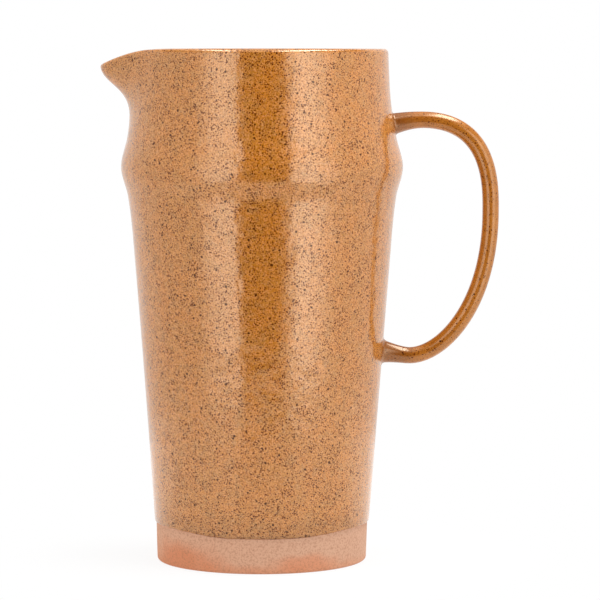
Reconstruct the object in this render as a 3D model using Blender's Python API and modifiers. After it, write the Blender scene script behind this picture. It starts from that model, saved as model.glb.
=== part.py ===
"""Stoneware jug with a pulled pouring lip, a round loop handle and a bare clay foot.

All sizes are in metres. The jug stands on z = 0 with its axis on Z, its lip towards -X and its
handle towards +X. The pieces are the ones a potter puts together: the clay body, the handle, the
two fillets of slip that lute it on, and the coats of glaze poured inside and dipped outside.
"""

import math

import bmesh
import bpy
from mathutils import Vector

# Driving dimensions of the wall: height and radius of the glazed outside
HEIGHT = 0.240
OUTLINE = (
    (0.000, 0.0500),  # foot
    (0.024, 0.0510),  # start of the straight taper
    (0.150, 0.0606),  # end of the straight taper
    (0.171, 0.0629),  # underside of the swelling
    (0.185, 0.0661),  # widest ring
    (0.199, 0.0630),  # upper side of the swelling
    (0.216, 0.0605),  # neck
    (0.240, 0.0594),  # rim
)
FOOT_WALL = 0.0055
RIM_WALL = 0.0040
FLOOR = 0.0075
FOOT_EDGE = 0.0014
INSIDE_CORNER = 0.0080

# Glaze coats, and the gap that every pair of touching pieces keeps
GLAZE = 0.00045
GAP = 0.0003
COAT = GLAZE + GAP
GLAZE_LINE = 0.0163

# Pouring lip, drawn out of the rim towards -X
LIP_REACH = 0.01605
LIP_DROP = 0.0066
LIP_START = 0.1893
LIP_CURL = 3.25
LIP_HALF_ANGLE = math.radians(20.5)
LIP_DROP_SHARPNESS = 1.56

# Handle: its centre line leaves each root along a pull, stands upright at its outermost point and
# lies level at its lowest point
TOP_ROOT = Vector((0.0580, 0.0, 0.2046))
TOP_PULL = Vector((0.0511, 0.0, 0.0124))
OUTERMOST = Vector((0.1075, 0.0, 0.1641))
RISE = Vector((0.0, 0.0, 0.0117))
FALL = Vector((0.0, 0.0, -0.0450))
LOWEST = Vector((0.0696, 0.0, 0.0962))
SWEEP = Vector((0.0151, 0.0, 0.0))
SETTLE = Vector((-0.0029, 0.0, 0.0))
LOW_ROOT = Vector((0.0550, 0.0, 0.0980))
LOW_PULL = Vector((0.0080, 0.0, -0.0009))

# Thickness of the rod, and how far from the wall it swells towards each root
HANDLE_RADIUS = 0.0039
ROOT_SWELL = 0.0012
TOP_SWELL_LENGTH = 0.0150
LOW_SWELL_LENGTH = 0.0210

# Fillets of slip round the two roots
TOP_FILLET = 0.0010
LOW_FILLET = 0.0015
FILLET_TIP = 0.0004
FILLET_DEPTH = 0.0040

# Fineness of the facets
TURN_STEPS = 44
FILLET_STEPS = 28
HOLE_STEPS = 28
ARC_STEP = 24
TAPER_STEP = 0.034
RINGS = (0.150, 0.160, 0.170, 0.1775, 0.185, 0.1925, 0.200, 0.210, 0.217, 0.223, 0.2285, 0.2335)
HANDLE_STEPS = (15, 14, 5)
ROOT_CROWDING = 1.4
HANDLE_SIDES = 6
MERGE = 0.00001

RIM_CENTRE = HEIGHT - RIM_WALL / 2
CORNER_CENTRE = FLOOR + INSIDE_CORNER

GLAZE_COLOUR = (0.55, 0.19, 0.03, 1.0)
CLAY_COLOUR = (0.70, 0.37, 0.24, 1.0)


def outline_slope(index):
    """Radius gained per metre of height at an outline station, from its neighbours."""
    below = OUTLINE[max(index - 1, 0)]
    above = OUTLINE[min(index + 1, len(OUTLINE) - 1)]
    return (above[1] - below[1]) / (above[0] - below[0])


def outside_radius(height):
    """Radius of the glazed outside, on a smooth cubic through the outline's stations."""
    index = max(i for i, (level, _) in enumerate(OUTLINE[:-1]) if level <= height)
    (low, low_radius), (high, high_radius) = OUTLINE[index], OUTLINE[index + 1]
    span = high - low
    t = (height - low) / span
    ease = t * t * (3 - 2 * t)
    bow = t * (1 - t) * ((1 - t) * outline_slope(index) - t * outline_slope(index + 1))
    return low_radius + (high_radius - low_radius) * ease + span * bow


def inside_radius(height):
    """Radius of the glazed inside: the wall thins evenly from the foot to the rim."""
    wall = FOOT_WALL + (RIM_WALL - FOOT_WALL) * height / RIM_CENTRE
    return outside_radius(height) - wall


def spaced(low, high, step):
    """Evenly spaced values from low to high, about a step apart."""
    count = max(1, round((high - low) / step))
    return [low + (high - low) * i / count for i in range(count + 1)]


def ring_heights(low):
    """Heights of the wall's rings up to the rim: far apart on the taper, close above it."""
    return spaced(low, RINGS[0], TAPER_STEP)[:-1] + [*RINGS, RIM_CENTRE]


def arc(radius, height, size, start, end):
    """Points of an arc about (radius, height), its angles in degrees from the outward side."""
    count = round(abs(end - start) / ARC_STEP)
    angles = [math.radians(start + (end - start) * i / count) for i in range(count + 1)]
    return [(radius + size * math.cos(a), height + size * math.sin(a)) for a in angles]


def outside_wall(depth, heights):
    """The outside, at a depth under the glazed face."""
    return [(outside_radius(height) - depth, height) for height in heights]


def inside_wall(depth, heights):
    """The inside, at a depth under the glazed face."""
    return [(inside_radius(height) + depth, height) for height in heights]


def rim(depth):
    """The half-round rim from inside to outside, at a depth under the glazed face."""
    centre = outside_radius(RIM_CENTRE) - RIM_WALL / 2
    return arc(centre, RIM_CENTRE, RIM_WALL / 2 - depth, 180, 0)


def floor_and_corner(depth):
    """The inside floor from the axis out to the wall, at a depth under the glazed face."""
    centre = inside_radius(CORNER_CENTRE) - INSIDE_CORNER
    return [(0.0, FLOOR - depth)] + arc(centre, CORNER_CENTRE, INSIDE_CORNER + depth, -90, 0)


def ceramic(name, colour, roughness):
    """A plain fired surface."""
    material = bpy.data.materials.new(name)
    material.use_nodes = True
    shader = material.node_tree.nodes["Principled BSDF"]
    shader.inputs["Base Color"].default_value = colour
    shader.inputs["Roughness"].default_value = roughness
    shader.inputs["Metallic"].default_value = 0.0
    return material


def add_object(name, data, collection):
    """A new object in a collection."""
    obj = bpy.data.objects.new(name, data)
    collection.objects.link(obj)
    return obj


def turned(name, points, collection, steps, closed=False):
    """A profile of (radius, height) points turned about the object's Z axis."""
    mesh = bpy.data.meshes.new(name)
    count = len(points)
    edges = [(i, (i + 1) % count) for i in range(count if closed else count - 1)]
    mesh.from_pydata([(radius, 0.0, height) for radius, height in points], edges, [])
    obj = add_object(name, mesh, collection)
    screw = obj.modifiers.new("turn", "SCREW")
    screw.steps = steps
    screw.render_steps = steps
    screw.use_merge_vertices = True
    screw.merge_threshold = MERGE
    screw.use_smooth_shade = True
    return obj


def evaluated_mesh(obj):
    """The mesh that an object's curve or modifiers make."""
    graph = bpy.context.evaluated_depsgraph_get()
    return bpy.data.meshes.new_from_object(obj.evaluated_get(graph))


def split_across_short_diagonals(mesh):
    """Makes triangles of a mesh by one rule, so that neighbouring coats keep their gap on the lip."""
    shell = bmesh.new()
    shell.from_mesh(mesh)
    bmesh.ops.triangulate(shell, faces=shell.faces, quad_method="SHORT_EDGE")
    shell.to_mesh(mesh)
    shell.free()


def pull_lip(obj):
    """Draws the rim of a turned piece out and down into the lip, fading round and down the wall."""
    mesh = evaluated_mesh(obj)
    for vertex in mesh.vertices:
        climb = min(max((vertex.co.z - LIP_START) / (HEIGHT - LIP_START), 0.0), 1.0)
        ease = (climb * climb * (3 - 2 * climb)) ** LIP_CURL
        turn = math.atan2(vertex.co.y, -vertex.co.x) / LIP_HALF_ANGLE
        vertex.co.x -= LIP_REACH * ease * math.exp(-turn * turn)
        vertex.co.z -= LIP_DROP * ease * math.exp(-LIP_DROP_SHARPNESS * turn * turn)
    split_across_short_diagonals(mesh)
    obj.modifiers.clear()
    obj.data = mesh


def cut(obj, cutter):
    """Takes a cutter's shape out of an object."""
    boolean = obj.modifiers.new(cutter.name, "BOOLEAN")
    boolean.operation = "DIFFERENCE"
    boolean.object = cutter


def as_cutter(obj):
    """Marks a helper that shapes other pieces and isn't one."""
    obj.hide_render = True
    obj.display_type = "WIRE"
    return obj


def root_frame(root, pull):
    """Where a root's centre line passes the glazed wall, and the turn from Z onto its pull."""
    place = root + pull * ((outside_radius(root.z) - root.x) / pull.x)
    return place, pull.to_track_quat("Z", "Y").to_euler()


def make_clay_body(parts):
    """The thrown vessel: floor, wall, half-round rim and the bare foot that it stands on."""
    foot = outside_radius(FOOT_EDGE) - COAT - FOOT_EDGE
    points = floor_and_corner(COAT)
    points += inside_wall(COAT, ring_heights(CORNER_CENTRE)[1:-1])
    points += rim(COAT)
    points += outside_wall(COAT, reversed(ring_heights(GLAZE_LINE)[:-1]))
    points += arc(foot, FOOT_EDGE, FOOT_EDGE, 0, -90)
    points += [(0.0, 0.0)]
    body = turned("clay_body", points, parts, TURN_STEPS)
    pull_lip(body)
    return body


def make_outer_glaze(parts, root_cutters):
    """The dipped coat, from the glaze line up over the rim, open where the handle is luted on."""
    heights = ring_heights(GLAZE_LINE)
    lap = heights[-2:-1]
    points = inside_wall(0.0, lap) + rim(0.0) + outside_wall(0.0, reversed(heights[:-1]))
    back = outside_wall(GLAZE, heights[:-1]) + rim(GLAZE)[::-1] + inside_wall(GLAZE, lap)
    coat = turned("outer_glaze", points + back, parts, TURN_STEPS, closed=True)
    pull_lip(coat)
    for cutter in root_cutters:
        cut(coat, cutter)
    return coat


def make_inner_glaze(parts):
    """The poured liner, from the floor up to the outer coat's lap inside the rim."""
    heights = ring_heights(CORNER_CENTRE)[1:-1]
    heights[-1] -= GAP
    points = floor_and_corner(GLAZE) + inside_wall(GLAZE, heights)
    points += inside_wall(0.0, reversed(heights)) + floor_and_corner(0.0)[::-1]
    liner = turned("inner_glaze", points[::-1], parts, TURN_STEPS)
    pull_lip(liner)
    return liner


def bezier(start, leave, arrive, end, share):
    """A point of a cubic curve."""
    rest = 1 - share
    return (start * rest ** 3 + leave * (3 * rest * rest * share)
            + arrive * (3 * rest * share * share) + end * share ** 3)


def handle_points():
    """Points of the handle's centre line, from the upper root to the lower."""
    stretches = (
        (TOP_ROOT, TOP_ROOT + TOP_PULL, OUTERMOST + RISE, OUTERMOST),
        (OUTERMOST, OUTERMOST + FALL, LOWEST + SWEEP, LOWEST),
        (LOWEST, LOWEST + SETTLE, LOW_ROOT + LOW_PULL, LOW_ROOT),
    )
    crowding = (ROOT_CROWDING, 1.0, 1.0)
    points = [TOP_ROOT]
    for stretch, steps, power in zip(stretches, HANDLE_STEPS, crowding):
        points += [bezier(*stretch, (i / steps) ** power) for i in range(1, steps + 1)]
    return points


def rod_radius(point):
    """Radius of the rod at a point, which swells towards the nearer root."""
    root, pull, length = LOW_ROOT, LOW_PULL, LOW_SWELL_LENGTH
    if point.z > OUTERMOST.z:
        root, pull, length = TOP_ROOT, TOP_PULL, TOP_SWELL_LENGTH
    wall = root_frame(root, pull)[0]
    share = min(max((point.x - wall.x) / length, 0.0), 1.0)
    return HANDLE_RADIUS + ROOT_SWELL * (1 - share) ** 2


def make_handle(parts, wall_cutter):
    """The pulled loop, a round rod that swells at its roots and seats on the clay wall."""
    line = bpy.data.curves.new("handle_line", "CURVE")
    line.dimensions = "3D"
    line.bevel_depth = HANDLE_RADIUS
    line.bevel_resolution = HANDLE_SIDES
    line.use_fill_caps = True
    places = handle_points()
    spline = line.splines.new("POLY")
    spline.points.add(len(places) - 1)
    for point, place in zip(spline.points, places):
        point.co = (*place, 1.0)
        point.radius = rod_radius(place) / HANDLE_RADIUS
    curve = add_object("handle_line", line, parts)
    mesh = evaluated_mesh(curve)
    shell = bmesh.new()
    shell.from_mesh(mesh)
    bmesh.ops.remove_doubles(shell, verts=shell.verts, dist=MERGE)
    bmesh.ops.recalc_face_normals(shell, faces=shell.faces)
    shell.to_mesh(mesh)
    shell.free()
    mesh.shade_smooth()
    handle = add_object("handle", mesh, parts)
    handle.matrix_world = curve.matrix_world
    bpy.data.objects.remove(curve)
    cut(handle, wall_cutter)
    return handle


def make_slip(name, root, pull, fillet, parts, wall_cutter):
    """A fillet of slip round one root, hollow on its outside, seated on the clay wall."""
    bore = HANDLE_RADIUS + ROOT_SWELL + GAP
    flare = bore + FILLET_TIP + fillet
    points = [(bore, fillet)] + arc(flare, fillet, fillet, 180, 270)
    points += [(flare, -FILLET_DEPTH), (bore, -FILLET_DEPTH)]
    slip = turned(name, points, parts, FILLET_STEPS, closed=True)
    slip.location, slip.rotation_euler = root_frame(root, pull)
    cut(slip, wall_cutter)
    return slip


def make_wall_cutter(cutters):
    """The clay body's outside filled in and a gap larger, to trim what seats on it."""
    wall = outside_wall(GLAZE, reversed(ring_heights(GLAZE_LINE)))
    points = [(0.0, RIM_CENTRE)] + wall + [(0.0, GLAZE_LINE)]
    return as_cutter(turned("wall_cutter", points, cutters, TURN_STEPS))


def make_root_cutter(name, root, pull, fillet, cutters):
    """A plug a gap wider than a fillet of slip, to open the outer coat round a root."""
    size = HANDLE_RADIUS + ROOT_SWELL + FILLET_TIP + fillet + 2 * GAP
    points = [(0.0, FILLET_DEPTH), (size, FILLET_DEPTH), (size, -FILLET_DEPTH), (0.0, -FILLET_DEPTH)]
    plug = turned(name, points, cutters, HOLE_STEPS)
    plug.location, plug.rotation_euler = root_frame(root, pull)
    return as_cutter(plug)


def new_collection(name):
    """A collection in the scene."""
    collection = bpy.data.collections.new(name)
    bpy.context.scene.collection.children.link(collection)
    return collection


def main():
    for obj in list(bpy.data.objects):
        bpy.data.objects.remove(obj)
    parts = new_collection("stoneware_jug")
    cutters = new_collection("cutters")
    glaze = ceramic("amber_glaze", GLAZE_COLOUR, 0.25)
    clay = ceramic("bare_clay", CLAY_COLOUR, 0.85)

    roots = (
        ("upper", TOP_ROOT, TOP_PULL, TOP_FILLET),
        ("lower", LOW_ROOT, LOW_PULL, LOW_FILLET),
    )
    wall_cutter = make_wall_cutter(cutters)
    root_cutters = []
    pieces = [(make_clay_body(parts), clay)]
    for place, root, pull, fillet in roots:
        name = f"{place}_handle_slip"
        pieces.append((make_slip(name, root, pull, fillet, parts, wall_cutter), glaze))
        root_cutters.append(make_root_cutter(f"{place}_root_cutter", root, pull, fillet, cutters))
    pieces.append((make_handle(parts, wall_cutter), glaze))
    pieces.append((make_outer_glaze(parts, root_cutters), glaze))
    pieces.append((make_inner_glaze(parts), glaze))

    jug = add_object("jug", None, parts)
    for piece, material in pieces:
        piece.data.materials.append(material)
        piece.parent = jug


main()
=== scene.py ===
"""Looks of a speckled stoneware jug: its glaze, its bare clay foot, the studio and the camera.

All sizes are in metres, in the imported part's own frame. The jug stands on z = 0 with its axis on
Z, its lip towards -X and its handle towards +X, and the camera looks along +Y.
"""

import math

import bpy
import numpy as np
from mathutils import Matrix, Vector


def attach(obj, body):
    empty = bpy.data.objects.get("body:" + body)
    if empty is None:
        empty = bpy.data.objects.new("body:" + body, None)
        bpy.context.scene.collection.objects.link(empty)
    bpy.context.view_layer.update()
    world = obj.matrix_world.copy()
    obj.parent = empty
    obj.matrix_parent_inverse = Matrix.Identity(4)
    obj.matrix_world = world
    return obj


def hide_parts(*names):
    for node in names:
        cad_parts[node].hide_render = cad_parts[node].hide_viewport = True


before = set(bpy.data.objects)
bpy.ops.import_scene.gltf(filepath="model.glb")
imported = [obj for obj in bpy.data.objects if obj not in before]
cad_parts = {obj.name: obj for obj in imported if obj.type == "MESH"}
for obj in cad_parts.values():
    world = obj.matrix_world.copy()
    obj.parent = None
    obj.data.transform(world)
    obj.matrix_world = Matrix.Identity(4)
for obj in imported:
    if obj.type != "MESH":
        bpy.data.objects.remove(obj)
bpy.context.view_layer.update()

# Wall of the jug: height and radius of the glazed outside
HEIGHT = 0.240
OUTLINE = (
    (0.000, 0.0500),  # foot
    (0.024, 0.0510),  # start of the straight taper
    (0.150, 0.0606),  # end of the straight taper
    (0.171, 0.0629),  # underside of the swelling
    (0.185, 0.0661),  # widest ring
    (0.199, 0.0630),  # upper side of the swelling
    (0.216, 0.0605),  # neck
    (0.240, 0.0594),  # rim
)
FOOT_WALL = 0.0055
RIM_WALL = 0.0040
FLOOR = 0.0075
FOOT_EDGE = 0.0014
INSIDE_CORNER = 0.0080
RIM_CENTRE = HEIGHT - RIM_WALL / 2
CORNER_CENTRE = FLOOR + INSIDE_CORNER

# Glaze: its step over the clay, how deep its hidden back sits, its lower edge, and how the outer
# coat dives under the liner inside the mouth
COAT = 0.00075
COAT_BACK = 0.0011
GLAZE_LINE = 0.0163
GLAZE_EDGE = 0.0007
LAP_LOW = 0.2230
LAP_HIGH = 0.2310
LINER_TOP = 0.2275
LAP_SINK = 0.00010

# Pouring lip: how far it reaches out and drops at the rim, the heights between which it grows, how
# tightly it curls and how wide it opens
LIP_REACH = 0.01586
LIP_DROP = 0.0067
LIP_START = 0.1820
LIP_TOP = 0.2395
LIP_CURL = 4.18
LIP_HALF_ANGLE = math.radians(17.5)
LIP_DROP_SHARPNESS = 1.23

# Handle: its centre line leaves each root along a pull, stands upright at its outermost point and
# lies level at its lowest point
TOP_ROOT = Vector((0.0580, 0.0, 0.2046))
TOP_PULL = Vector((0.0511, 0.0, 0.0124))
OUTERMOST = Vector((0.1075, 0.0, 0.1641))
RISE = Vector((0.0, 0.0, 0.0117))
FALL = Vector((0.0, 0.0, -0.0450))
LOWEST = Vector((0.0696, 0.0, 0.0962))
SWEEP = Vector((0.0151, 0.0, 0.0))
SETTLE = Vector((-0.0029, 0.0, 0.0))
LOW_ROOT = Vector((0.0550, 0.0, 0.0980))
LOW_PULL = Vector((0.0080, 0.0, -0.0009))

# Thickness of the rod, and the form of its roots: size of the fillet, swell of the rod, length of
# the swell and sag
HANDLE_RADIUS = 0.00388
TOP_FORM = (0.0010, 0.0012, 0.0150, 0.0005)
LOW_FORM = (0.0015, 0.0017, 0.0130, -0.0003)
ROOT_DEPTH = 0.0010
SEAT_FADE = 0.0080

# Marks of the hand: a slight bow towards the handle, slow waves of the wall, and a glaze line that
# wanders and rises towards the lip and the handle
BOW = 0.0005
WALL_WAVE = 0.00015
WALL_WAVELENGTH = 0.045
WAVE_RADIUS = 0.0590
WAVE_DETAIL = 1.0
EDGE_WANDER = 0.0005
EDGE_WAVELENGTH = 0.007
EDGE_FADE = 0.006
EDGE_RISE = 0.0020
EDGE_SIDES = (0.25, 0.95)

# Fineness of the meshes
TURN_STEPS = 192
WALL_STEP = 0.0020
BACK_STEP = 0.0060
ARC_STEP = 10  # degrees
LINE_STEP = 0.0025  # share of each stretch of the handle's line
HANDLE_SIDES = 48
RING_STEP = 0.0012
FILLET_RINGS = 10
MERGE = 0.000001

# Finishes: linear colours, shine and roughness
AMBER = (0.555, 0.188, 0.012, 1)
OCHRE = (0.500, 0.188, 0.018, 1)
PALE_AMBER = (0.77, 0.316, 0.102, 1)
DEEP_AMBER = (0.265, 0.054, 0.000, 1)
OLIVE = (0.32, 0.178, 0.058, 1)
SPECK = (0.108, 0.017, 0.000, 1)
IRON = (0.060, 0.012, 0.000, 1)
HANDLE_AMBER = (0.420, 0.134, 0.007, 1)
HANDLE_TOFFEE = (0.365, 0.112, 0.005, 1)
# Painted shade for the handle's roots
ROOT_SHADE_TOFFEE = (0.20, 0.050, 0.000, 1)
CLAY = (0.68, 0.376, 0.238, 1)
CLAY_FLASH = (0.655, 0.246, 0.118, 1)
CLAY_BUFF = (0.64, 0.370, 0.242, 1)
CLAY_GRAIN = (0.40, 0.170, 0.085, 1)
GLAZE_IOR = 1.8
GLAZE_SHINE = 0.85
GLAZE_SHEEN = (1.0, 0.83, 0.65, 1)
GLAZE_ROUGHNESS = 0.14
LINER_SHINE = 0.35
LINER_ROUGHNESS = 0.32
HANDLE_SHINE = 0.6
HANDLE_SHEEN = (1.0, 0.82, 0.60, 1)
HANDLE_ROUGHNESS = 0.17
ROUGHNESS_SPREAD = 0.06
SMEAR_SIZE = 0.006
SPECK_ROUGHNESS = 1.0
SPECK_SHINE = 0.0
SPECK_DULL = 0.64
SPECK_GLANCE = (0.35, 0.80)
CLAY_ROUGHNESS = 0.9

# Texture of the glaze: its patches, clouds, grains and orange peel
PATCH_SIZE = 0.007
PATCH_DETAIL = 3.0
PATCH_RANGE = (0.35, 0.65)
CLOUD_SIZE = 0.0026
CLOUD_DETAIL = 3.0
CLOUD_RANGE = (0.50, 0.70)
CLOUD_SHARE = 0.4
GRAIN_SIZE = 0.00034
PALE_GRAINS = (0.50, 0.95)
PALE_SHARE = 0.60
DEEP_GRAINS = (0.05, 0.45)
DEEP_SHARE = 0.55
PEEL_SIZE = 0.0110
PEEL_DEPTH = 0.0008
PEEL_DETAIL = 3.0
PEEL_STRENGTH = 0.60
HANDLE_PEEL_STRENGTH = 0.08

# Thick glaze: more clouds low on the wall and a darker lower edge on the outside alone.
# Painted shade: the handle's glaze darkened towards the wall at its roots, where the neck and wall
# shade them
THICK_GLAZE = (0.02, 0.12)
THICK_CLOUDS = 0.015
POOL_HEIGHT = 0.0022
POOL_SHARE = 0.40
THICK_EDGE = (0.0185, 0.0300)
THICK_SHARE = 0.18
EDGE_RADII = (0.0470, 0.0490)
ROOT_SHADE_REACH = (0.0630, 0.0760)
ROOT_SHADE_SHARE = 0.7

# Iron specks of three sizes: spacing, smallest and largest radius, share of colour, shift of the
# pattern. Then their soft and ragged edges, how they crowd in places, and the share of the pattern's
# points that have one
FINE_SPECKS = (0.00074, 0.00013, 0.00029, 1.00, 0.31)
MIDDLE_SPECKS = (0.00110, 0.00021, 0.00042, 1.00, 0.17)
LARGE_SPECKS = (0.0036, 0.00035, 0.00065, 0.95, 0.53)
SPECK_EDGE = 0.85
RAGGED_SIZE = 0.0007
RAGGED = 0.0003
CROWD_SIZE = 0.0055
CROWD_RANGE = (0.35, 0.65)
CROWDING = (0.86, 1.13)
BODY_DENSITY = 1.0
HANDLE_DENSITY = 0.25

# Texture of the bare clay. A flash has its middle along X, its height, its reach along X, its reach
# in height and its share of colour, and the sand has what each size of iron specks has
FLASH_SIZE = 0.012
FLASH_WOBBLE = 0.9
FLASH_EDGE = (0.25, 1.15)
FLASHES = (
    (-0.036, 0.003, 0.021, 0.0115, 1.00),  # towards the lip
    (0.020, 0.0045, 0.020, 0.0050, 0.70),  # in front
    (0.000, 0.000, 0.080, 0.0050, 0.60),  # along the table
)
BUFF_SIDE = (-0.04, 0.03)
CLAY_GRAIN_SIZE = 0.0009
CLAY_GRAINS = (0.42, 0.72)
CLAY_GRAIN_SHARE = 0.55
CLAY_GRAIN_DEPTH = 0.0001
CLAY_GRAIN_STRENGTH = 0.5
SAND = (0.0009, 0.0001, 0.0003, 0.4, 0.23)

# Camera
CAMERA_PLACE = (0.0181, -1.530, 0.2448)
CAMERA_PITCH = math.radians(4.5784)
CAMERA_LENS = 195.91
SENSOR = 36

# Studio: a pale room with a dim gap round the camera between two windows. First how bright each part
# is, then the angles aside from the camera at which it begins or fades, then the sines of elevation
LEFT_ROOM = 0.88
RIGHT_ROOM = 1.00
GAP_LIGHT = 0.06
LEFT_LIGHT = 2.12
RIGHT_LIGHT = 2.72
BACK_LIGHT = 1.0
TOP_LIGHT = 1.0
LEFT_EDGE = (math.radians(17.5), math.radians(22.5))
LEFT_FADE = (math.radians(36), math.radians(64))
RIGHT_EDGE = (math.radians(16), math.radians(38))
RIGHT_FADE = (math.radians(35), math.radians(78))
BACK_FADE = (math.radians(95), math.radians(132))
WALL_FADE = (math.sin(math.radians(27)), math.sin(math.radians(42)))
TOP_RISE = (math.sin(math.radians(35)), math.sin(math.radians(65)))

# Soft lights overhead: a key on the handle's side and a narrower fill on the lip's side
LIGHT_TARGET = Vector((0.0, 0.0, 0.15))
KEY_PLACE = Vector((0.44, -0.06, 1.30))
KEY_SIZE = (1.00, 0.36)
KEY_POWER = 10.5
FILL_PLACE = Vector((-0.39, 0.0, 1.30))
FILL_SIZE = (1.00, 0.13)
FILL_POWER = 4.2

# White table: it glows, is brighter behind the jug, dims towards the gap by a share per metre, and
# keeps a faint shadow for the camera
TABLE_RADIUS = 0.40
TABLE_HOLE = 0.0475
TABLE_SIDES = 128
TABLE_WHITE = (0.92, 0.92, 0.92, 1)
TABLE_GLOW = 0.5
CAMERA_WHITE = 1.0
NEAR_LIGHT = 0.9
FAR_LIGHT = 1.40
FAR_SIDE = (-0.06, 0.06)
GAP_DEEPENS = 0.8
TABLE_SHADOW = 0.15
SHADOW_REACH = (0.06, 0.14)
WHITE = (1, 1, 1, 1)

# The middle of a noise's values, which run from 0 to 1
NOISE_MIDDLE = 0.5


class Value:
    """An output of a node, which adds Math nodes where it stands in a Python expression."""

    def __init__(self, graph, socket):
        self.graph = graph
        self.socket = socket

    def output(self, name):
        """Another output of the same node."""
        return Value(self.graph, self.socket.node.outputs[name])

    def __add__(self, other):
        return self.graph.math("ADD", self, other)

    __radd__ = __add__

    def __sub__(self, other):
        return self.graph.math("SUBTRACT", self, other)

    def __rsub__(self, other):
        return self.graph.math("SUBTRACT", other, self)

    def __mul__(self, other):
        return self.graph.math("MULTIPLY", self, other)

    __rmul__ = __mul__

    def __truediv__(self, other):
        return self.graph.math("DIVIDE", self, other)

    def __rtruediv__(self, other):
        return self.graph.math("DIVIDE", other, self)


class Graph:
    """A node tree that is being built."""

    def __init__(self, tree):
        self.tree = tree

    def add(self, kind, settings, sockets, give=0):
        """A new node: its settings first, then its sockets' values or links. Returns one output."""
        node = self.tree.nodes.new(kind)
        for name, setting in settings.items():
            setattr(node, name, setting)
        for key, value in sockets.items():
            if isinstance(value, Value):
                self.tree.links.new(value.socket, node.inputs[key])
            else:
                node.inputs[key].default_value = value
        return Value(self, node.outputs[give]) if node.outputs else None

    def math(self, operation, *values):
        return self.add("ShaderNodeMath", {"operation": operation}, dict(enumerate(values)))

    def vector_math(self, operation, *values):
        return self.add("ShaderNodeVectorMath", {"operation": operation}, dict(enumerate(values)))

    def smooth(self, value, low, high):
        """0 below low, 1 above high, with an S curve between them."""
        sockets = {"Value": value, "From Min": low, "From Max": high}
        return self.add("ShaderNodeMapRange", {"interpolation_type": "SMOOTHSTEP"}, sockets)

    def mix(self, factor, first, second):
        """The first colour where the factor is 0 and the second where it is 1."""
        sockets = {0: factor, 6: first, 7: second}
        return self.add("ShaderNodeMix", {"data_type": "RGBA"}, sockets, give=2)

    def mix_shader(self, factor, first, second):
        """The first surface where the factor is 0 and the second where it is 1."""
        return self.add("ShaderNodeMixShader", {}, {0: factor, 1: first, 2: second})

    def noise(self, place, wavelength, detail=2.0):
        """Soft noise from 0 to 1, with its largest features about a wavelength apart."""
        sockets = {"Vector": place, "Scale": 1 / wavelength, "Detail": detail}
        return self.add("ShaderNodeTexNoise", {}, sockets, give="Fac")

    def split(self, vector):
        """The three numbers of a vector."""
        first = self.add("ShaderNodeSeparateXYZ", {}, {0: vector})
        return first, first.output("Y"), first.output("Z")

    def join(self, x, y, z):
        return self.add("ShaderNodeCombineXYZ", {}, {0: x, 1: y, 2: z})


# Shape of the wall


def outline_slope(index):
    """Radius gained per metre of height at an outline station, from its neighbours."""
    below = OUTLINE[max(index - 1, 0)]
    above = OUTLINE[min(index + 1, len(OUTLINE) - 1)]
    return (above[1] - below[1]) / (above[0] - below[0])


def outside_radius(height):
    """Radius of the glazed outside, on a smooth cubic through the outline's stations."""
    index = max(i for i, (level, _) in enumerate(OUTLINE[:-1]) if level <= height)
    (low, low_radius), (high, high_radius) = OUTLINE[index], OUTLINE[index + 1]
    span = high - low
    t = (height - low) / span
    ease = t * t * (3 - 2 * t)
    bow = t * (1 - t) * ((1 - t) * outline_slope(index) - t * outline_slope(index + 1))
    return low_radius + (high_radius - low_radius) * ease + span * bow


def inside_radius(height):
    """Radius of the glazed inside: the wall thins evenly from the foot to the rim."""
    wall = FOOT_WALL + (RIM_WALL - FOOT_WALL) * height / RIM_CENTRE
    return outside_radius(height) - wall


def spaced(low, high, step):
    """Evenly spaced values from low to high, about a step apart."""
    count = max(1, round((high - low) / step))
    return [low + (high - low) * i / count for i in range(count + 1)]


def arc(radius, height, size, start, end):
    """Points of an arc about (radius, height), its angles in degrees from the outward side."""
    count = round(abs(end - start) / ARC_STEP)
    angles = [math.radians(start + (end - start) * i / count) for i in range(count + 1)]
    return [(radius + size * math.cos(a), height + size * math.sin(a)) for a in angles]


def outside_wall(depth, heights):
    """The outside, at a depth under the glazed face."""
    return [(outside_radius(height) - depth, height) for height in heights]


def inside_wall(depth, heights):
    """The inside, at a depth under the glazed face."""
    return [(inside_radius(height) + depth, height) for height in heights]


def rim(depth):
    """The half-round rim from inside to outside, at a depth under the glazed face."""
    centre = outside_radius(RIM_CENTRE) - RIM_WALL / 2
    return arc(centre, RIM_CENTRE, RIM_WALL / 2 - depth, 180, 0)


def floor_and_corner(depth):
    """The inside floor from the axis out to the wall, at a depth under the glazed face."""
    centre = inside_radius(CORNER_CENTRE) - INSIDE_CORNER
    flat = [(radius, FLOOR - depth) for radius in (0.0, centre / 2)]
    return flat + arc(centre, CORNER_CENTRE, INSIDE_CORNER + depth, -90, 0)


def clay_profile():
    """The thrown vessel from the inside floor over the rim to the foot and the flat underside."""
    foot = outside_radius(FOOT_EDGE) - COAT - FOOT_EDGE
    points = floor_and_corner(COAT)
    points += inside_wall(COAT, spaced(CORNER_CENTRE, RIM_CENTRE, BACK_STEP)[1:-1])
    points += rim(COAT)
    points += outside_wall(COAT, spaced(GLAZE_LINE, RIM_CENTRE, BACK_STEP)[-2::-1])
    points += outside_wall(COAT, spaced(FOOT_EDGE, GLAZE_LINE, WALL_STEP)[-2:0:-1])
    points += arc(foot, FOOT_EDGE, FOOT_EDGE, 0, -90)
    return points + [(foot - FOOT_EDGE, 0.0), (foot / 2, 0.0), (0.0, 0.0)]


def lap_depth(height):
    """How far the outer coat dives under the liner inside the mouth."""
    share = min(max((LAP_HIGH - height) / (LAP_HIGH - LINER_TOP), 0.0), 1.0)
    return LAP_SINK * share * share * (3 - 2 * share)


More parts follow.
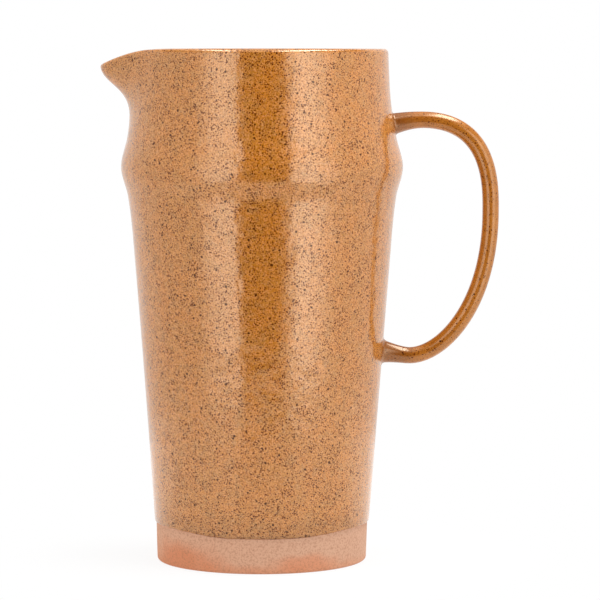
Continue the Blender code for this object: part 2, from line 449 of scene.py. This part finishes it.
def outer_coat_profile():
    """The dipped coat: up from its lap in the mouth, over the rim and down to its rounded edge."""
    lap = spaced(LAP_LOW, RIM_CENTRE, WALL_STEP)[:-1]
    edge = outside_radius(GLAZE_LINE) - GLAZE_EDGE
    points = [(inside_radius(height) + lap_depth(height), height) for height in lap]
    points += rim(0.0)
    points += outside_wall(0.0, spaced(GLAZE_LINE + GLAZE_EDGE, RIM_CENTRE, WALL_STEP)[-2:0:-1])
    points += arc(edge, GLAZE_LINE + GLAZE_EDGE, GLAZE_EDGE, 0, -90)
    points += outside_wall(COAT_BACK, spaced(GLAZE_LINE, RIM_CENTRE, BACK_STEP)[:-1])
    points += rim(COAT_BACK)[::-1]
    points += inside_wall(COAT_BACK, lap[::-1])
    return points + points[:1]


def inner_coat_profile():
    """The poured liner: its hidden back up to its top edge, and its face back down to the floor."""
    heights = spaced(CORNER_CENTRE, LINER_TOP, WALL_STEP)[1:]
    points = floor_and_corner(COAT_BACK) + inside_wall(COAT_BACK, heights)
    points += arc(inside_radius(LINER_TOP) + LAP_SINK, LINER_TOP, LAP_SINK, 90, 180)
    points += inside_wall(0.0, heights[-2::-1])
    return points + floor_and_corner(0.0)[::-1]


def line_mesh(name, points):
    """A mesh of points joined in a row."""
    mesh = bpy.data.meshes.new(name)
    mesh.from_pydata(points, [(i, i + 1) for i in range(len(points) - 1)], [])
    return mesh


def profile_mesh(name, profile):
    """A profile as a line in the XZ plane."""
    return line_mesh(name, [(radius, 0.0, height) for radius, height in profile])


# Node trees that make the shapes


def shape_tree(name, sizes):
    """A node tree with a line of points, the named sizes and a material as its inputs."""
    tree = bpy.data.node_groups.new(name, "GeometryNodeTree")
    tree.interface.new_socket("Line", in_out="INPUT", socket_type="NodeSocketGeometry")
    for size, kind in sizes:
        tree.interface.new_socket(size, in_out="INPUT", socket_type=kind)
    tree.interface.new_socket("Finish", in_out="INPUT", socket_type="NodeSocketMaterial")
    tree.interface.new_socket("Shape", in_out="OUTPUT", socket_type="NodeSocketGeometry")
    graph = Graph(tree)
    inputs = graph.add("NodeGroupInput", {}, {})
    return graph, inputs


def end_shape(graph, inputs, mesh):
    """Shades a shape smooth, makes it plain geometry and gives it its finish."""
    smooth = graph.add("GeometryNodeSetShadeSmooth", {}, {"Geometry": mesh})
    plain = graph.add("GeometryNodeRealizeInstances", {}, {"Geometry": smooth})
    sockets = {"Geometry": plain, "Material": inputs.output("Finish")}
    finished = graph.add("GeometryNodeSetMaterial", {}, sockets)
    graph.add("NodeGroupOutput", {}, {0: finished})
    return graph.tree


def turning_tree():
    """Turns a profile about Z, waves it as a hand does and draws the lip out of its rim."""
    names = ("Bow", "Wall Wave", "Wall Wavelength", "Edge Wander", "Edge Rise", "Edge Height",
             "Edge Fade", "Lip Reach", "Lip Drop", "Lip Start", "Lip Top", "Lip Curl",
             "Lip Half Angle", "Lip Drop Sharpness")
    sizes = [("Steps", "NodeSocketInt")] + [(name, "NodeSocketFloat") for name in names]
    graph, inputs = shape_tree("turn_on_wheel", sizes)
    size = inputs.output

    count = graph.add("GeometryNodeAttributeDomainSize", {}, {0: size("Line")}, give="Point Count")
    grid = graph.add("GeometryNodeMeshGrid", {}, {
        "Size X": 1.0,
        "Size Y": count - 1,
        "Vertices X": size("Steps") + 1,
        "Vertices Y": count,
    })
    place = graph.add("GeometryNodeInputPosition", {}, {})
    across, along, _ = graph.split(place)
    row = graph.math("ROUND", along + (count - 1) / 2)
    settings = {"data_type": "FLOAT_VECTOR", "domain": "POINT"}
    sockets = {"Geometry": size("Line"), "Value": place, "Index": row}
    radius, _, height = graph.split(graph.add("GeometryNodeSampleIndex", settings, sockets))

    angle = (across + 0.5) * math.tau
    cosine = graph.math("COSINE", angle)
    sine = graph.math("SINE", angle)
    on_outline = graph.join(cosine * WAVE_RADIUS, sine * WAVE_RADIUS, height)
    wave = graph.noise(on_outline, size("Wall Wavelength"), WAVE_DETAIL)
    radius = radius - size("Wall Wave") * wave * graph.smooth(radius, 0.0, WAVE_RADIUS / 2)
    from_edge = graph.math("ABSOLUTE", height - size("Edge Height"))
    near_edge = 1 - graph.smooth(from_edge, 0.0, size("Edge Fade"))
    ring = graph.join(cosine * WAVE_RADIUS, sine * WAVE_RADIUS, 0.0)
    wander = size("Edge Wander") * (graph.noise(ring, EDGE_WAVELENGTH) - NOISE_MIDDLE)
    rise = size("Edge Rise") * graph.smooth(graph.math("ABSOLUTE", cosine), *EDGE_SIDES)
    height = height + (wander + rise) * near_edge

    climb = graph.smooth(height, size("Lip Start"), size("Lip Top"))
    climb = graph.math("POWER", climb, size("Lip Curl"))
    aside = graph.math("ARCTAN2", sine, 0 - cosine) / size("Lip Half Angle")
    reach = climb * graph.math("EXPONENT", 0 - aside * aside)
    drop = climb * graph.math("EXPONENT", 0 - size("Lip Drop Sharpness") * aside * aside)
    bow = size("Bow") * graph.math("SINE", height * (math.pi / HEIGHT))
    x = radius * cosine + bow - size("Lip Reach") * reach
    z = height - size("Lip Drop") * drop
    position = graph.join(x, radius * sine, z)
    moved = graph.add("GeometryNodeSetPosition", {}, {"Geometry": grid, "Position": position})
    welded = graph.add("GeometryNodeMergeByDistance", {}, {"Geometry": moved, "Distance": MERGE})
    return end_shape(graph, inputs, welded)


def rod_tree():
    """Sweeps a round rod along a line and seats its ends on a wall that lies towards -X."""
    sizes = [("Sides", "NodeSocketInt"), ("Wall", "NodeSocketObject"), ("Far", "NodeSocketFloat")]
    graph, inputs = shape_tree("pull_handle", sizes)

    def carried(name):
        """A number that the line holds at each of its points."""
        settings = {"data_type": "FLOAT"}
        return graph.add("GeometryNodeInputNamedAttribute", settings, {"Name": name})

    line = graph.add("GeometryNodeMeshToCurve", {}, {0: inputs.output("Line")})
    sockets = {0: inputs.output("Sides"), "Radius": 1.0}
    circle = graph.add("GeometryNodeCurvePrimitiveCircle", {"mode": "RADIUS"}, sockets)
    rod = graph.add("GeometryNodeCurveToMesh", {}, {
        "Curve": line,
        "Profile Curve": circle,
        "Scale": carried("thickness"),
        "Fill Caps": True,
    })

    x, y, z = graph.split(graph.add("GeometryNodeInputPosition", {}, {}))
    far = inputs.output("Far")
    sockets = {"Object": inputs.output("Wall")}
    wall = graph.add("GeometryNodeObjectInfo", {}, sockets, give="Geometry")
    sockets = {
        "Target Geometry": wall,
        "Source Position": graph.join(far, y, z),
        "Ray Direction": (-1.0, 0.0, 0.0),
        "Ray Length": far,
    }
    hit, _, _ = graph.split(graph.add("GeometryNodeRaycast", {}, sockets, give="Hit Position"))
    x = x + (hit + carried("clearance") - x) * carried("seat")
    sockets = {"Geometry": rod, "Position": graph.join(x, y, z)}
    seated = graph.add("GeometryNodeSetPosition", {}, sockets)
    welded = graph.add("GeometryNodeMergeByDistance", {}, {"Geometry": seated, "Distance": MERGE})
    return end_shape(graph, inputs, welded)


def shaped(name, mesh, tree, sizes):
    """The plain mesh object that a node tree makes from a line of points."""
    piece = bpy.data.objects.new(name, mesh)
    bpy.context.scene.collection.objects.link(piece)
    modifier = piece.modifiers.new("shape", "NODES")
    modifier.node_group = tree
    for item in tree.interface.items_tree:
        if item.name in sizes:
            modifier[item.identifier] = sizes[item.name]
    evaluated = piece.evaluated_get(bpy.context.evaluated_depsgraph_get())
    made = bpy.data.meshes.new_from_object(evaluated)
    piece.modifiers.clear()
    piece.data = made
    return piece


def turned(name, profile, tree, finish):
    """A piece turned on the wheel."""
    return shaped(name, profile_mesh(name, profile), tree, {
        "Steps": TURN_STEPS,
        "Bow": BOW,
        "Wall Wave": WALL_WAVE,
        "Wall Wavelength": WALL_WAVELENGTH,
        "Edge Wander": EDGE_WANDER,
        "Edge Rise": EDGE_RISE,
        "Edge Height": GLAZE_LINE,
        "Edge Fade": EDGE_FADE,
        "Lip Reach": LIP_REACH,
        "Lip Drop": LIP_DROP,
        "Lip Start": LIP_START,
        "Lip Top": LIP_TOP,
        "Lip Curl": LIP_CURL,
        "Lip Half Angle": LIP_HALF_ANGLE,
        "Lip Drop Sharpness": LIP_DROP_SHARPNESS,
        "Finish": finish,
    })


# Handle


def bezier(start, leave, arrive, end, share):
    """A point of a cubic curve."""
    rest = 1 - share
    return (start * rest ** 3 + leave * (3 * rest * rest * share)
            + arrive * (3 * rest * share * share) + end * share ** 3)


def handle_line():
    """Points close together along the handle's centre line, from the upper root to the lower."""
    stretches = (
        (TOP_ROOT, TOP_ROOT + TOP_PULL, OUTERMOST + RISE, OUTERMOST),
        (OUTERMOST, OUTERMOST + FALL, LOWEST + SWEEP, LOWEST),
        (LOWEST, LOWEST + SETTLE, LOW_ROOT + LOW_PULL, LOW_ROOT),
    )
    shares = spaced(0.0, 1.0, LINE_STEP)
    return [bezier(*stretch, share) for stretch in stretches for share in shares]


def fillet_flare(distance, fillet):
    """What a quarter-round fillet adds to the rod's radius at a distance from the wall."""
    rise = 1 - min(max(distance / fillet, 0.0), 1.0)
    return fillet * (1 - math.sqrt(1 - rise * rise)) + max(-distance, 0.0)


def seat_share(distance):
    """How fully the rod's ring takes the round of the wall at a distance from it."""
    share = min(max(distance / SEAT_FADE, 0.0), 1.0)
    return 1 - share * share * (3 - 2 * share)


def root_distances(fillet, middle):
    """Distances of rings from a root: in the wall, crowded in the fillet, then even."""
    turns = [math.radians(90 * i / FILLET_RINGS) for i in range(FILLET_RINGS)]
    crowded = [fillet * (1 - math.cos(turn)) for turn in turns]
    return [-ROOT_DEPTH, -ROOT_DEPTH / 2] + crowded + spaced(fillet, middle, RING_STEP)


def root_rings(root, way, middle, fillet, swell, length, sag):
    """Rings from a root to the middle: place on the line, distance from the wall, radius and sag."""
    rings = []
    for distance in root_distances(fillet, middle):
        rest = 1 - min(max(distance / length, 0.0), 1.0)
        radius = HANDLE_RADIUS + swell * rest * rest + fillet_flare(distance, fillet)
        rings.append((root + way * distance, distance, radius, sag * rest * rest))
    return rings


def make_handle(tree, wall, finish):
    """The loop, with a fillet round each root that seats on the wall."""
    line = np.array([tuple(point) for point in handle_line()])
    steps = np.linalg.norm(np.diff(line, axis=0), axis=1)
    lengths = np.concatenate([[0.0], np.cumsum(steps)])
    clear = [x > outside_radius(z) for x, _, z in line]
    top = lengths[clear.index(True)]
    low = lengths[len(clear) - 1 - clear[::-1].index(True)]
    middle = (low - top) / 2
    upper = root_rings(top, 1, middle, *TOP_FORM)
    lower = root_rings(low, -1, middle, *LOW_FORM)
    places, distances, radii, sags = zip(*(upper + lower[-2::-1]))
    points = np.stack([np.interp(places, lengths, line[:, axis]) for axis in range(3)], axis=1)
    points[:, 2] -= sags
    mesh = line_mesh("handle_line", points.tolist())
    carried = {
        "thickness": radii,
        "clearance": distances,
        "seat": [seat_share(distance) for distance in distances],
    }
    for name, values in carried.items():
        mesh.attributes.new(name, "FLOAT", "POINT").data.foreach_set("value", values)
    sizes = {"Sides": HANDLE_SIDES, "Wall": wall, "Far": OUTERMOST.x * 2, "Finish": finish}
    return shaped("handle_loop", mesh, tree, sizes)


# Finishes


def new_finish(name):
    """An empty material and its node tree."""
    material = bpy.data.materials.new(name)
    material.use_nodes = True
    material.node_tree.nodes.clear()
    graph = Graph(material.node_tree)
    place = graph.add("ShaderNodeTexCoord", {}, {}, give="Object")
    return material, graph, place


def surface_of(graph, sockets):
    """The surface shader."""
    return graph.add("ShaderNodeBsdfPrincipled", {}, sockets)


def end_finish(graph, surface):
    """The output of a material."""
    graph.add("ShaderNodeOutputMaterial", {}, {"Surface": surface})


def cells(graph, place, spacing):
    """The distance to the nearest of many scattered points, in spacings, and its random number."""
    near = graph.add("ShaderNodeTexVoronoi", {}, {"Vector": place, "Scale": 1 / spacing})
    return near, graph.add("ShaderNodeSeparateColor", {}, {0: near.output("Color")})


def ragged(graph, place):
    """Places pushed about a little, so that what is drawn at them has an uneven edge."""
    push = graph.noise(place, RAGGED_SIZE).output("Color")
    return graph.vector_math("MULTIPLY_ADD", push, (RAGGED, RAGGED, RAGGED), place)


def specks(graph, place, pattern, density=1.0, crowd=1.0):
    """Specks of unlike sizes, in a share of the cells: their share of colour, and 0 outside them."""
    spacing, smallest, largest, share, shift = pattern
    moved = graph.vector_math("ADD", place, (shift, shift, shift))
    distance, chance = cells(graph, moved, spacing)
    reach = (smallest + (largest - smallest) * chance) * crowd / spacing
    filled = graph.math("LESS_THAN", chance.output("Green"), density)
    return (1 - graph.smooth(distance, reach * SPECK_EDGE, reach)) * filled * share


def iron_specks(graph, place, density):
    """Iron specks of three sizes, which crowd in places: their share of colour, and their colour."""
    uneven = ragged(graph, place)
    sparse, dense = CROWDING
    crowd = sparse + (dense - sparse) * graph.smooth(graph.noise(place, CROWD_SIZE), *CROWD_RANGE)
    fine = specks(graph, uneven, FINE_SPECKS, density, crowd)
    middle = specks(graph, uneven, MIDDLE_SPECKS, density, crowd)
    large = specks(graph, uneven, LARGE_SPECKS, density)
    return 1 - (1 - fine) * (1 - middle) * (1 - large), graph.mix(large, SPECK, IRON)


def glaze_colour(graph, place, clear, deep, density, root_shade_share):
    """The colour between the specks: patches, grey-olive clouds, and pale and dark grains."""
    across, _, height = graph.split(place)
    patches = graph.smooth(graph.noise(place, PATCH_SIZE, PATCH_DETAIL), *PATCH_RANGE)
    # Painted shade: the handle's glaze darkens towards the wall at its roots
    root = 1 - graph.smooth(across, *ROOT_SHADE_REACH)
    thick = 1 - graph.smooth(height, *THICK_GLAZE)
    clouds = graph.noise(place, CLOUD_SIZE, CLOUD_DETAIL) + thick * THICK_CLOUDS
    clouds = graph.smooth(clouds, *CLOUD_RANGE)
    _, grain = cells(graph, place, GRAIN_SIZE)
    pale = graph.smooth(grain, *PALE_GRAINS) * PALE_SHARE
    dark = (1 - graph.smooth(grain, *DEEP_GRAINS)) * DEEP_SHARE

    colour = graph.mix(patches, clear, deep)
    colour = graph.mix(root * root_shade_share, colour, ROOT_SHADE_TOFFEE)
    colour = graph.mix(clouds * CLOUD_SHARE * density, colour, OLIVE)
    colour = graph.mix(pale * density, colour, PALE_AMBER)
    return graph.mix(dark * density, colour, DEEP_AMBER)


def darker_edge(graph, place, colour):
    """A colour that darkens towards the lower edge of the outside, where the glaze ran thick."""
    across, along, height = graph.split(place)
    outside = graph.smooth(graph.math("SQRT", across * across + along * along), *EDGE_RADII)
    pool = outside * (1 - graph.smooth(height, GLAZE_LINE, GLAZE_LINE + POOL_HEIGHT))
    low = outside * (1 - graph.smooth(height, *THICK_EDGE))
    colour = graph.mix(pool * POOL_SHARE, colour, IRON)
    return graph.mix(low * THICK_SHARE, colour, IRON)


def make_glaze(name, clear, deep, density, roughness, shine, sheen, peel_strength, root_shade_share=0.0):
    """Glossy speckled glaze with an orange peel, duller on the specks that face the eye."""
    material, graph, place = new_finish(name)
    colour = glaze_colour(graph, place, clear, deep, density, root_shade_share)
    speck, speck_colour = iron_specks(graph, place, density)
    colour = graph.mix(speck, colour, speck_colour)
    peel = graph.noise(place, PEEL_SIZE, PEEL_DETAIL)
    sockets = {"Strength": peel_strength, "Distance": PEEL_DEPTH, "Height": peel}
    glossy = surface_of(graph, {
        "Base Color": darker_edge(graph, place, colour),
        "Roughness": roughness + graph.noise(place, SMEAR_SIZE) * ROUGHNESS_SPREAD,
        "IOR": GLAZE_IOR,
        "Specular IOR Level": shine,
        "Specular Tint": sheen,
        "Normal": graph.add("ShaderNodeBump", {}, sockets),
    })
    matte = surface_of(graph, {
        "Base Color": speck_colour,
        "Roughness": SPECK_ROUGHNESS,
        "Specular IOR Level": SPECK_SHINE,
    })
    glance = graph.add("ShaderNodeLayerWeight", {}, {}, give="Facing")
    dull = speck * SPECK_DULL * (1 - graph.smooth(glance, *SPECK_GLANCE))
    end_finish(graph, graph.mix_shader(dull, glossy, matte))
    return material


def make_clay():
    """Matte fired clay, pink with orange flashes towards the table and a sandy grain."""
    material, graph, place = new_finish("bare_clay")
    across, _, height = graph.split(place)
    wobble = (graph.noise(place, FLASH_SIZE) - NOISE_MIDDLE) * FLASH_WOBBLE
    grain = graph.noise(place, CLAY_GRAIN_SIZE)

    colour = graph.mix(graph.smooth(across, *BUFF_SIDE), CLAY, CLAY_BUFF)
    for middle, level, width, rise, share in FLASHES:
        aside = (across - middle) / width
        above = (height - level) / rise
        far = graph.math("SQRT", aside * aside + above * above) + wobble
        colour = graph.mix((1 - graph.smooth(far, *FLASH_EDGE)) * share, colour, CLAY_FLASH)
    colour = graph.mix(graph.smooth(grain, *CLAY_GRAINS) * CLAY_GRAIN_SHARE, colour, CLAY_GRAIN)
    colour = graph.mix(specks(graph, place, SAND), colour, CLAY_GRAIN)
    sockets = {"Strength": CLAY_GRAIN_STRENGTH, "Distance": CLAY_GRAIN_DEPTH, "Height": grain}
    end_finish(graph, surface_of(graph, {
        "Base Color": colour,
        "Roughness": CLAY_ROUGHNESS,
        "Normal": graph.add("ShaderNodeBump", {}, sockets),
    }))
    return material


# Studio and camera


def make_camera():
    """A long lens level with the rim, as the photograph has it."""
    data = bpy.data.cameras.new("camera")
    data.lens = CAMERA_LENS
    data.sensor_width = SENSOR
    camera = bpy.data.objects.new("camera", data)
    camera.location = CAMERA_PLACE
    camera.rotation_euler = (math.pi / 2 - CAMERA_PITCH, 0.0, 0.0)
    bpy.context.scene.collection.objects.link(camera)
    bpy.context.scene.camera = camera


def beside_gap(graph, x, y):
    """How fully a direction from the jug lies to the left and to the right of the dim gap."""
    aside = graph.math("ARCTAN2", x, 0 - y)
    return aside, graph.smooth(0 - aside, *LEFT_EDGE), graph.smooth(aside, *RIGHT_EDGE)


def table_finish():
    """White that glows evenly for the camera, with a faint shadow, and unevenly for the jug."""
    material, graph, place = new_finish("white_table")

    def glow(strength):
        """White light."""
        return graph.add("ShaderNodeEmission", {}, {"Color": WHITE, "Strength": strength})

    x, y, _ = graph.split(place)
    away = graph.vector_math("LENGTH", place).output("Value")
    _, left, right = beside_gap(graph, x, y)
    gap = (1 - left) * (1 - right) * away * GAP_DEEPENS
    shadow = TABLE_SHADOW * (1 - graph.smooth(away, *SHADOW_REACH))
    matte = graph.add("ShaderNodeBsdfDiffuse", {}, {"Color": TABLE_WHITE})
    light = graph.mix_shader(graph.smooth(y, *FAR_SIDE), glow(NEAR_LIGHT), glow(FAR_LIGHT))
    to_jug = graph.mix_shader(gap, graph.mix_shader(TABLE_GLOW, matte, light), glow(GAP_LIGHT))
    to_camera = graph.mix_shader(shadow, glow(CAMERA_WHITE), matte)
    seen = graph.add("ShaderNodeLightPath", {}, {}, give="Is Camera Ray")
    end_finish(graph, graph.mix_shader(seen, to_jug, to_camera))
    return material


def make_table():
    """A round table top, open under the jug, so that no face of it lies in the jug's flat base."""
    turns = [math.tau * i / TABLE_SIDES for i in range(TABLE_SIDES)]
    points = [(radius * math.cos(turn), radius * math.sin(turn), 0.0)
              for turn in turns for radius in (TABLE_HOLE, TABLE_RADIUS)]
    count = len(points)
    faces = [(i, i + 1, (i + 3) % count, (i + 2) % count) for i in range(0, count, 2)]
    mesh = bpy.data.meshes.new("table")
    mesh.from_pydata(points, [], faces)
    mesh.materials.append(table_finish())
    table = bpy.data.objects.new("table", mesh)
    bpy.context.scene.collection.objects.link(table)


def make_world():
    """White to the camera; to the jug, a pale room with two bright windows and a dim gap."""
    world = bpy.data.worlds.new("studio")
    world.use_nodes = True
    world.node_tree.nodes.clear()
    bpy.context.scene.world = world
    graph = Graph(world.node_tree)
    x, y, z = graph.split(graph.add("ShaderNodeTexCoord", {}, {}, give="Generated"))
    aside, left, right = beside_gap(graph, x, y)
    back = graph.smooth(graph.math("ABSOLUTE", aside), *BACK_FADE)
    sides = (
        (left, 0 - aside, LEFT_FADE, LEFT_ROOM, LEFT_LIGHT),
        (right, aside, RIGHT_FADE, RIGHT_ROOM, RIGHT_LIGHT),
    )
    level = GAP_LIGHT
    for side, turn, fade, room, light in sides:
        window = side * (1 - graph.smooth(turn, *fade))
        level = level + side * (room - GAP_LIGHT) + window * (light - room)
        level = level + back * side * (BACK_LIGHT - room)
    level = level * (1 - graph.smooth(z, *WALL_FADE)) + TOP_LIGHT * graph.smooth(z, *TOP_RISE)
    seen = graph.add("ShaderNodeLightPath", {}, {}, give="Is Camera Ray")
    strength = seen + (1 - seen) * level
    glow = graph.add("ShaderNodeBackground", {}, {"Color": WHITE, "Strength": strength})
    graph.add("ShaderNodeOutputWorld", {}, {"Surface": glow})


def make_light(name, place, size, power):
    """A soft light that faces the jug, out of the camera's sight."""
    data = bpy.data.lights.new(name, "AREA")
    data.shape = "RECTANGLE"
    data.size, data.size_y = size
    data.energy = power
    light = bpy.data.objects.new(name, data)
    light.location = place
    light.rotation_euler = (LIGHT_TARGET - place).to_track_quat("-Z", "Y").to_euler()
    light.visible_camera = False
    bpy.context.scene.collection.objects.link(light)


bpy.context.scene.view_settings.view_transform = "Standard"
make_camera()
make_table()
make_world()
make_light("key_light", KEY_PLACE, KEY_SIZE, KEY_POWER)
make_light("fill_light", FILL_PLACE, FILL_SIZE, FILL_POWER)

liner_glaze = make_glaze(
    "liner_glaze", AMBER, OCHRE, BODY_DENSITY, LINER_ROUGHNESS, LINER_SHINE, GLAZE_SHEEN,
    PEEL_STRENGTH)
body_glaze = make_glaze(
    "amber_glaze", AMBER, OCHRE, BODY_DENSITY, GLAZE_ROUGHNESS, GLAZE_SHINE, GLAZE_SHEEN,
    PEEL_STRENGTH)
# The handle's glaze carries painted shade at its roots
handle_glaze = make_glaze(
    "handle_glaze", HANDLE_AMBER, HANDLE_TOFFEE, HANDLE_DENSITY, HANDLE_ROUGHNESS, HANDLE_SHINE,
    HANDLE_SHEEN, HANDLE_PEEL_STRENGTH, ROOT_SHADE_SHARE)
bare_clay = make_clay()

wheel = turning_tree()
clay_vessel = turned("clay_vessel", clay_profile(), wheel, bare_clay)
outer_coat = turned("outer_coat", outer_coat_profile(), wheel, body_glaze)
inner_coat = turned("inner_coat", inner_coat_profile(), wheel, liner_glaze)
handle_loop = make_handle(rod_tree(), outer_coat, handle_glaze)

for piece in (clay_vessel, outer_coat, inner_coat, handle_loop):
    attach(piece, "root")
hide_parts("clay_body")
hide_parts("outer_glaze")
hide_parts("inner_glaze")
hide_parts("handle", "upper_handle_slip", "lower_handle_slip")
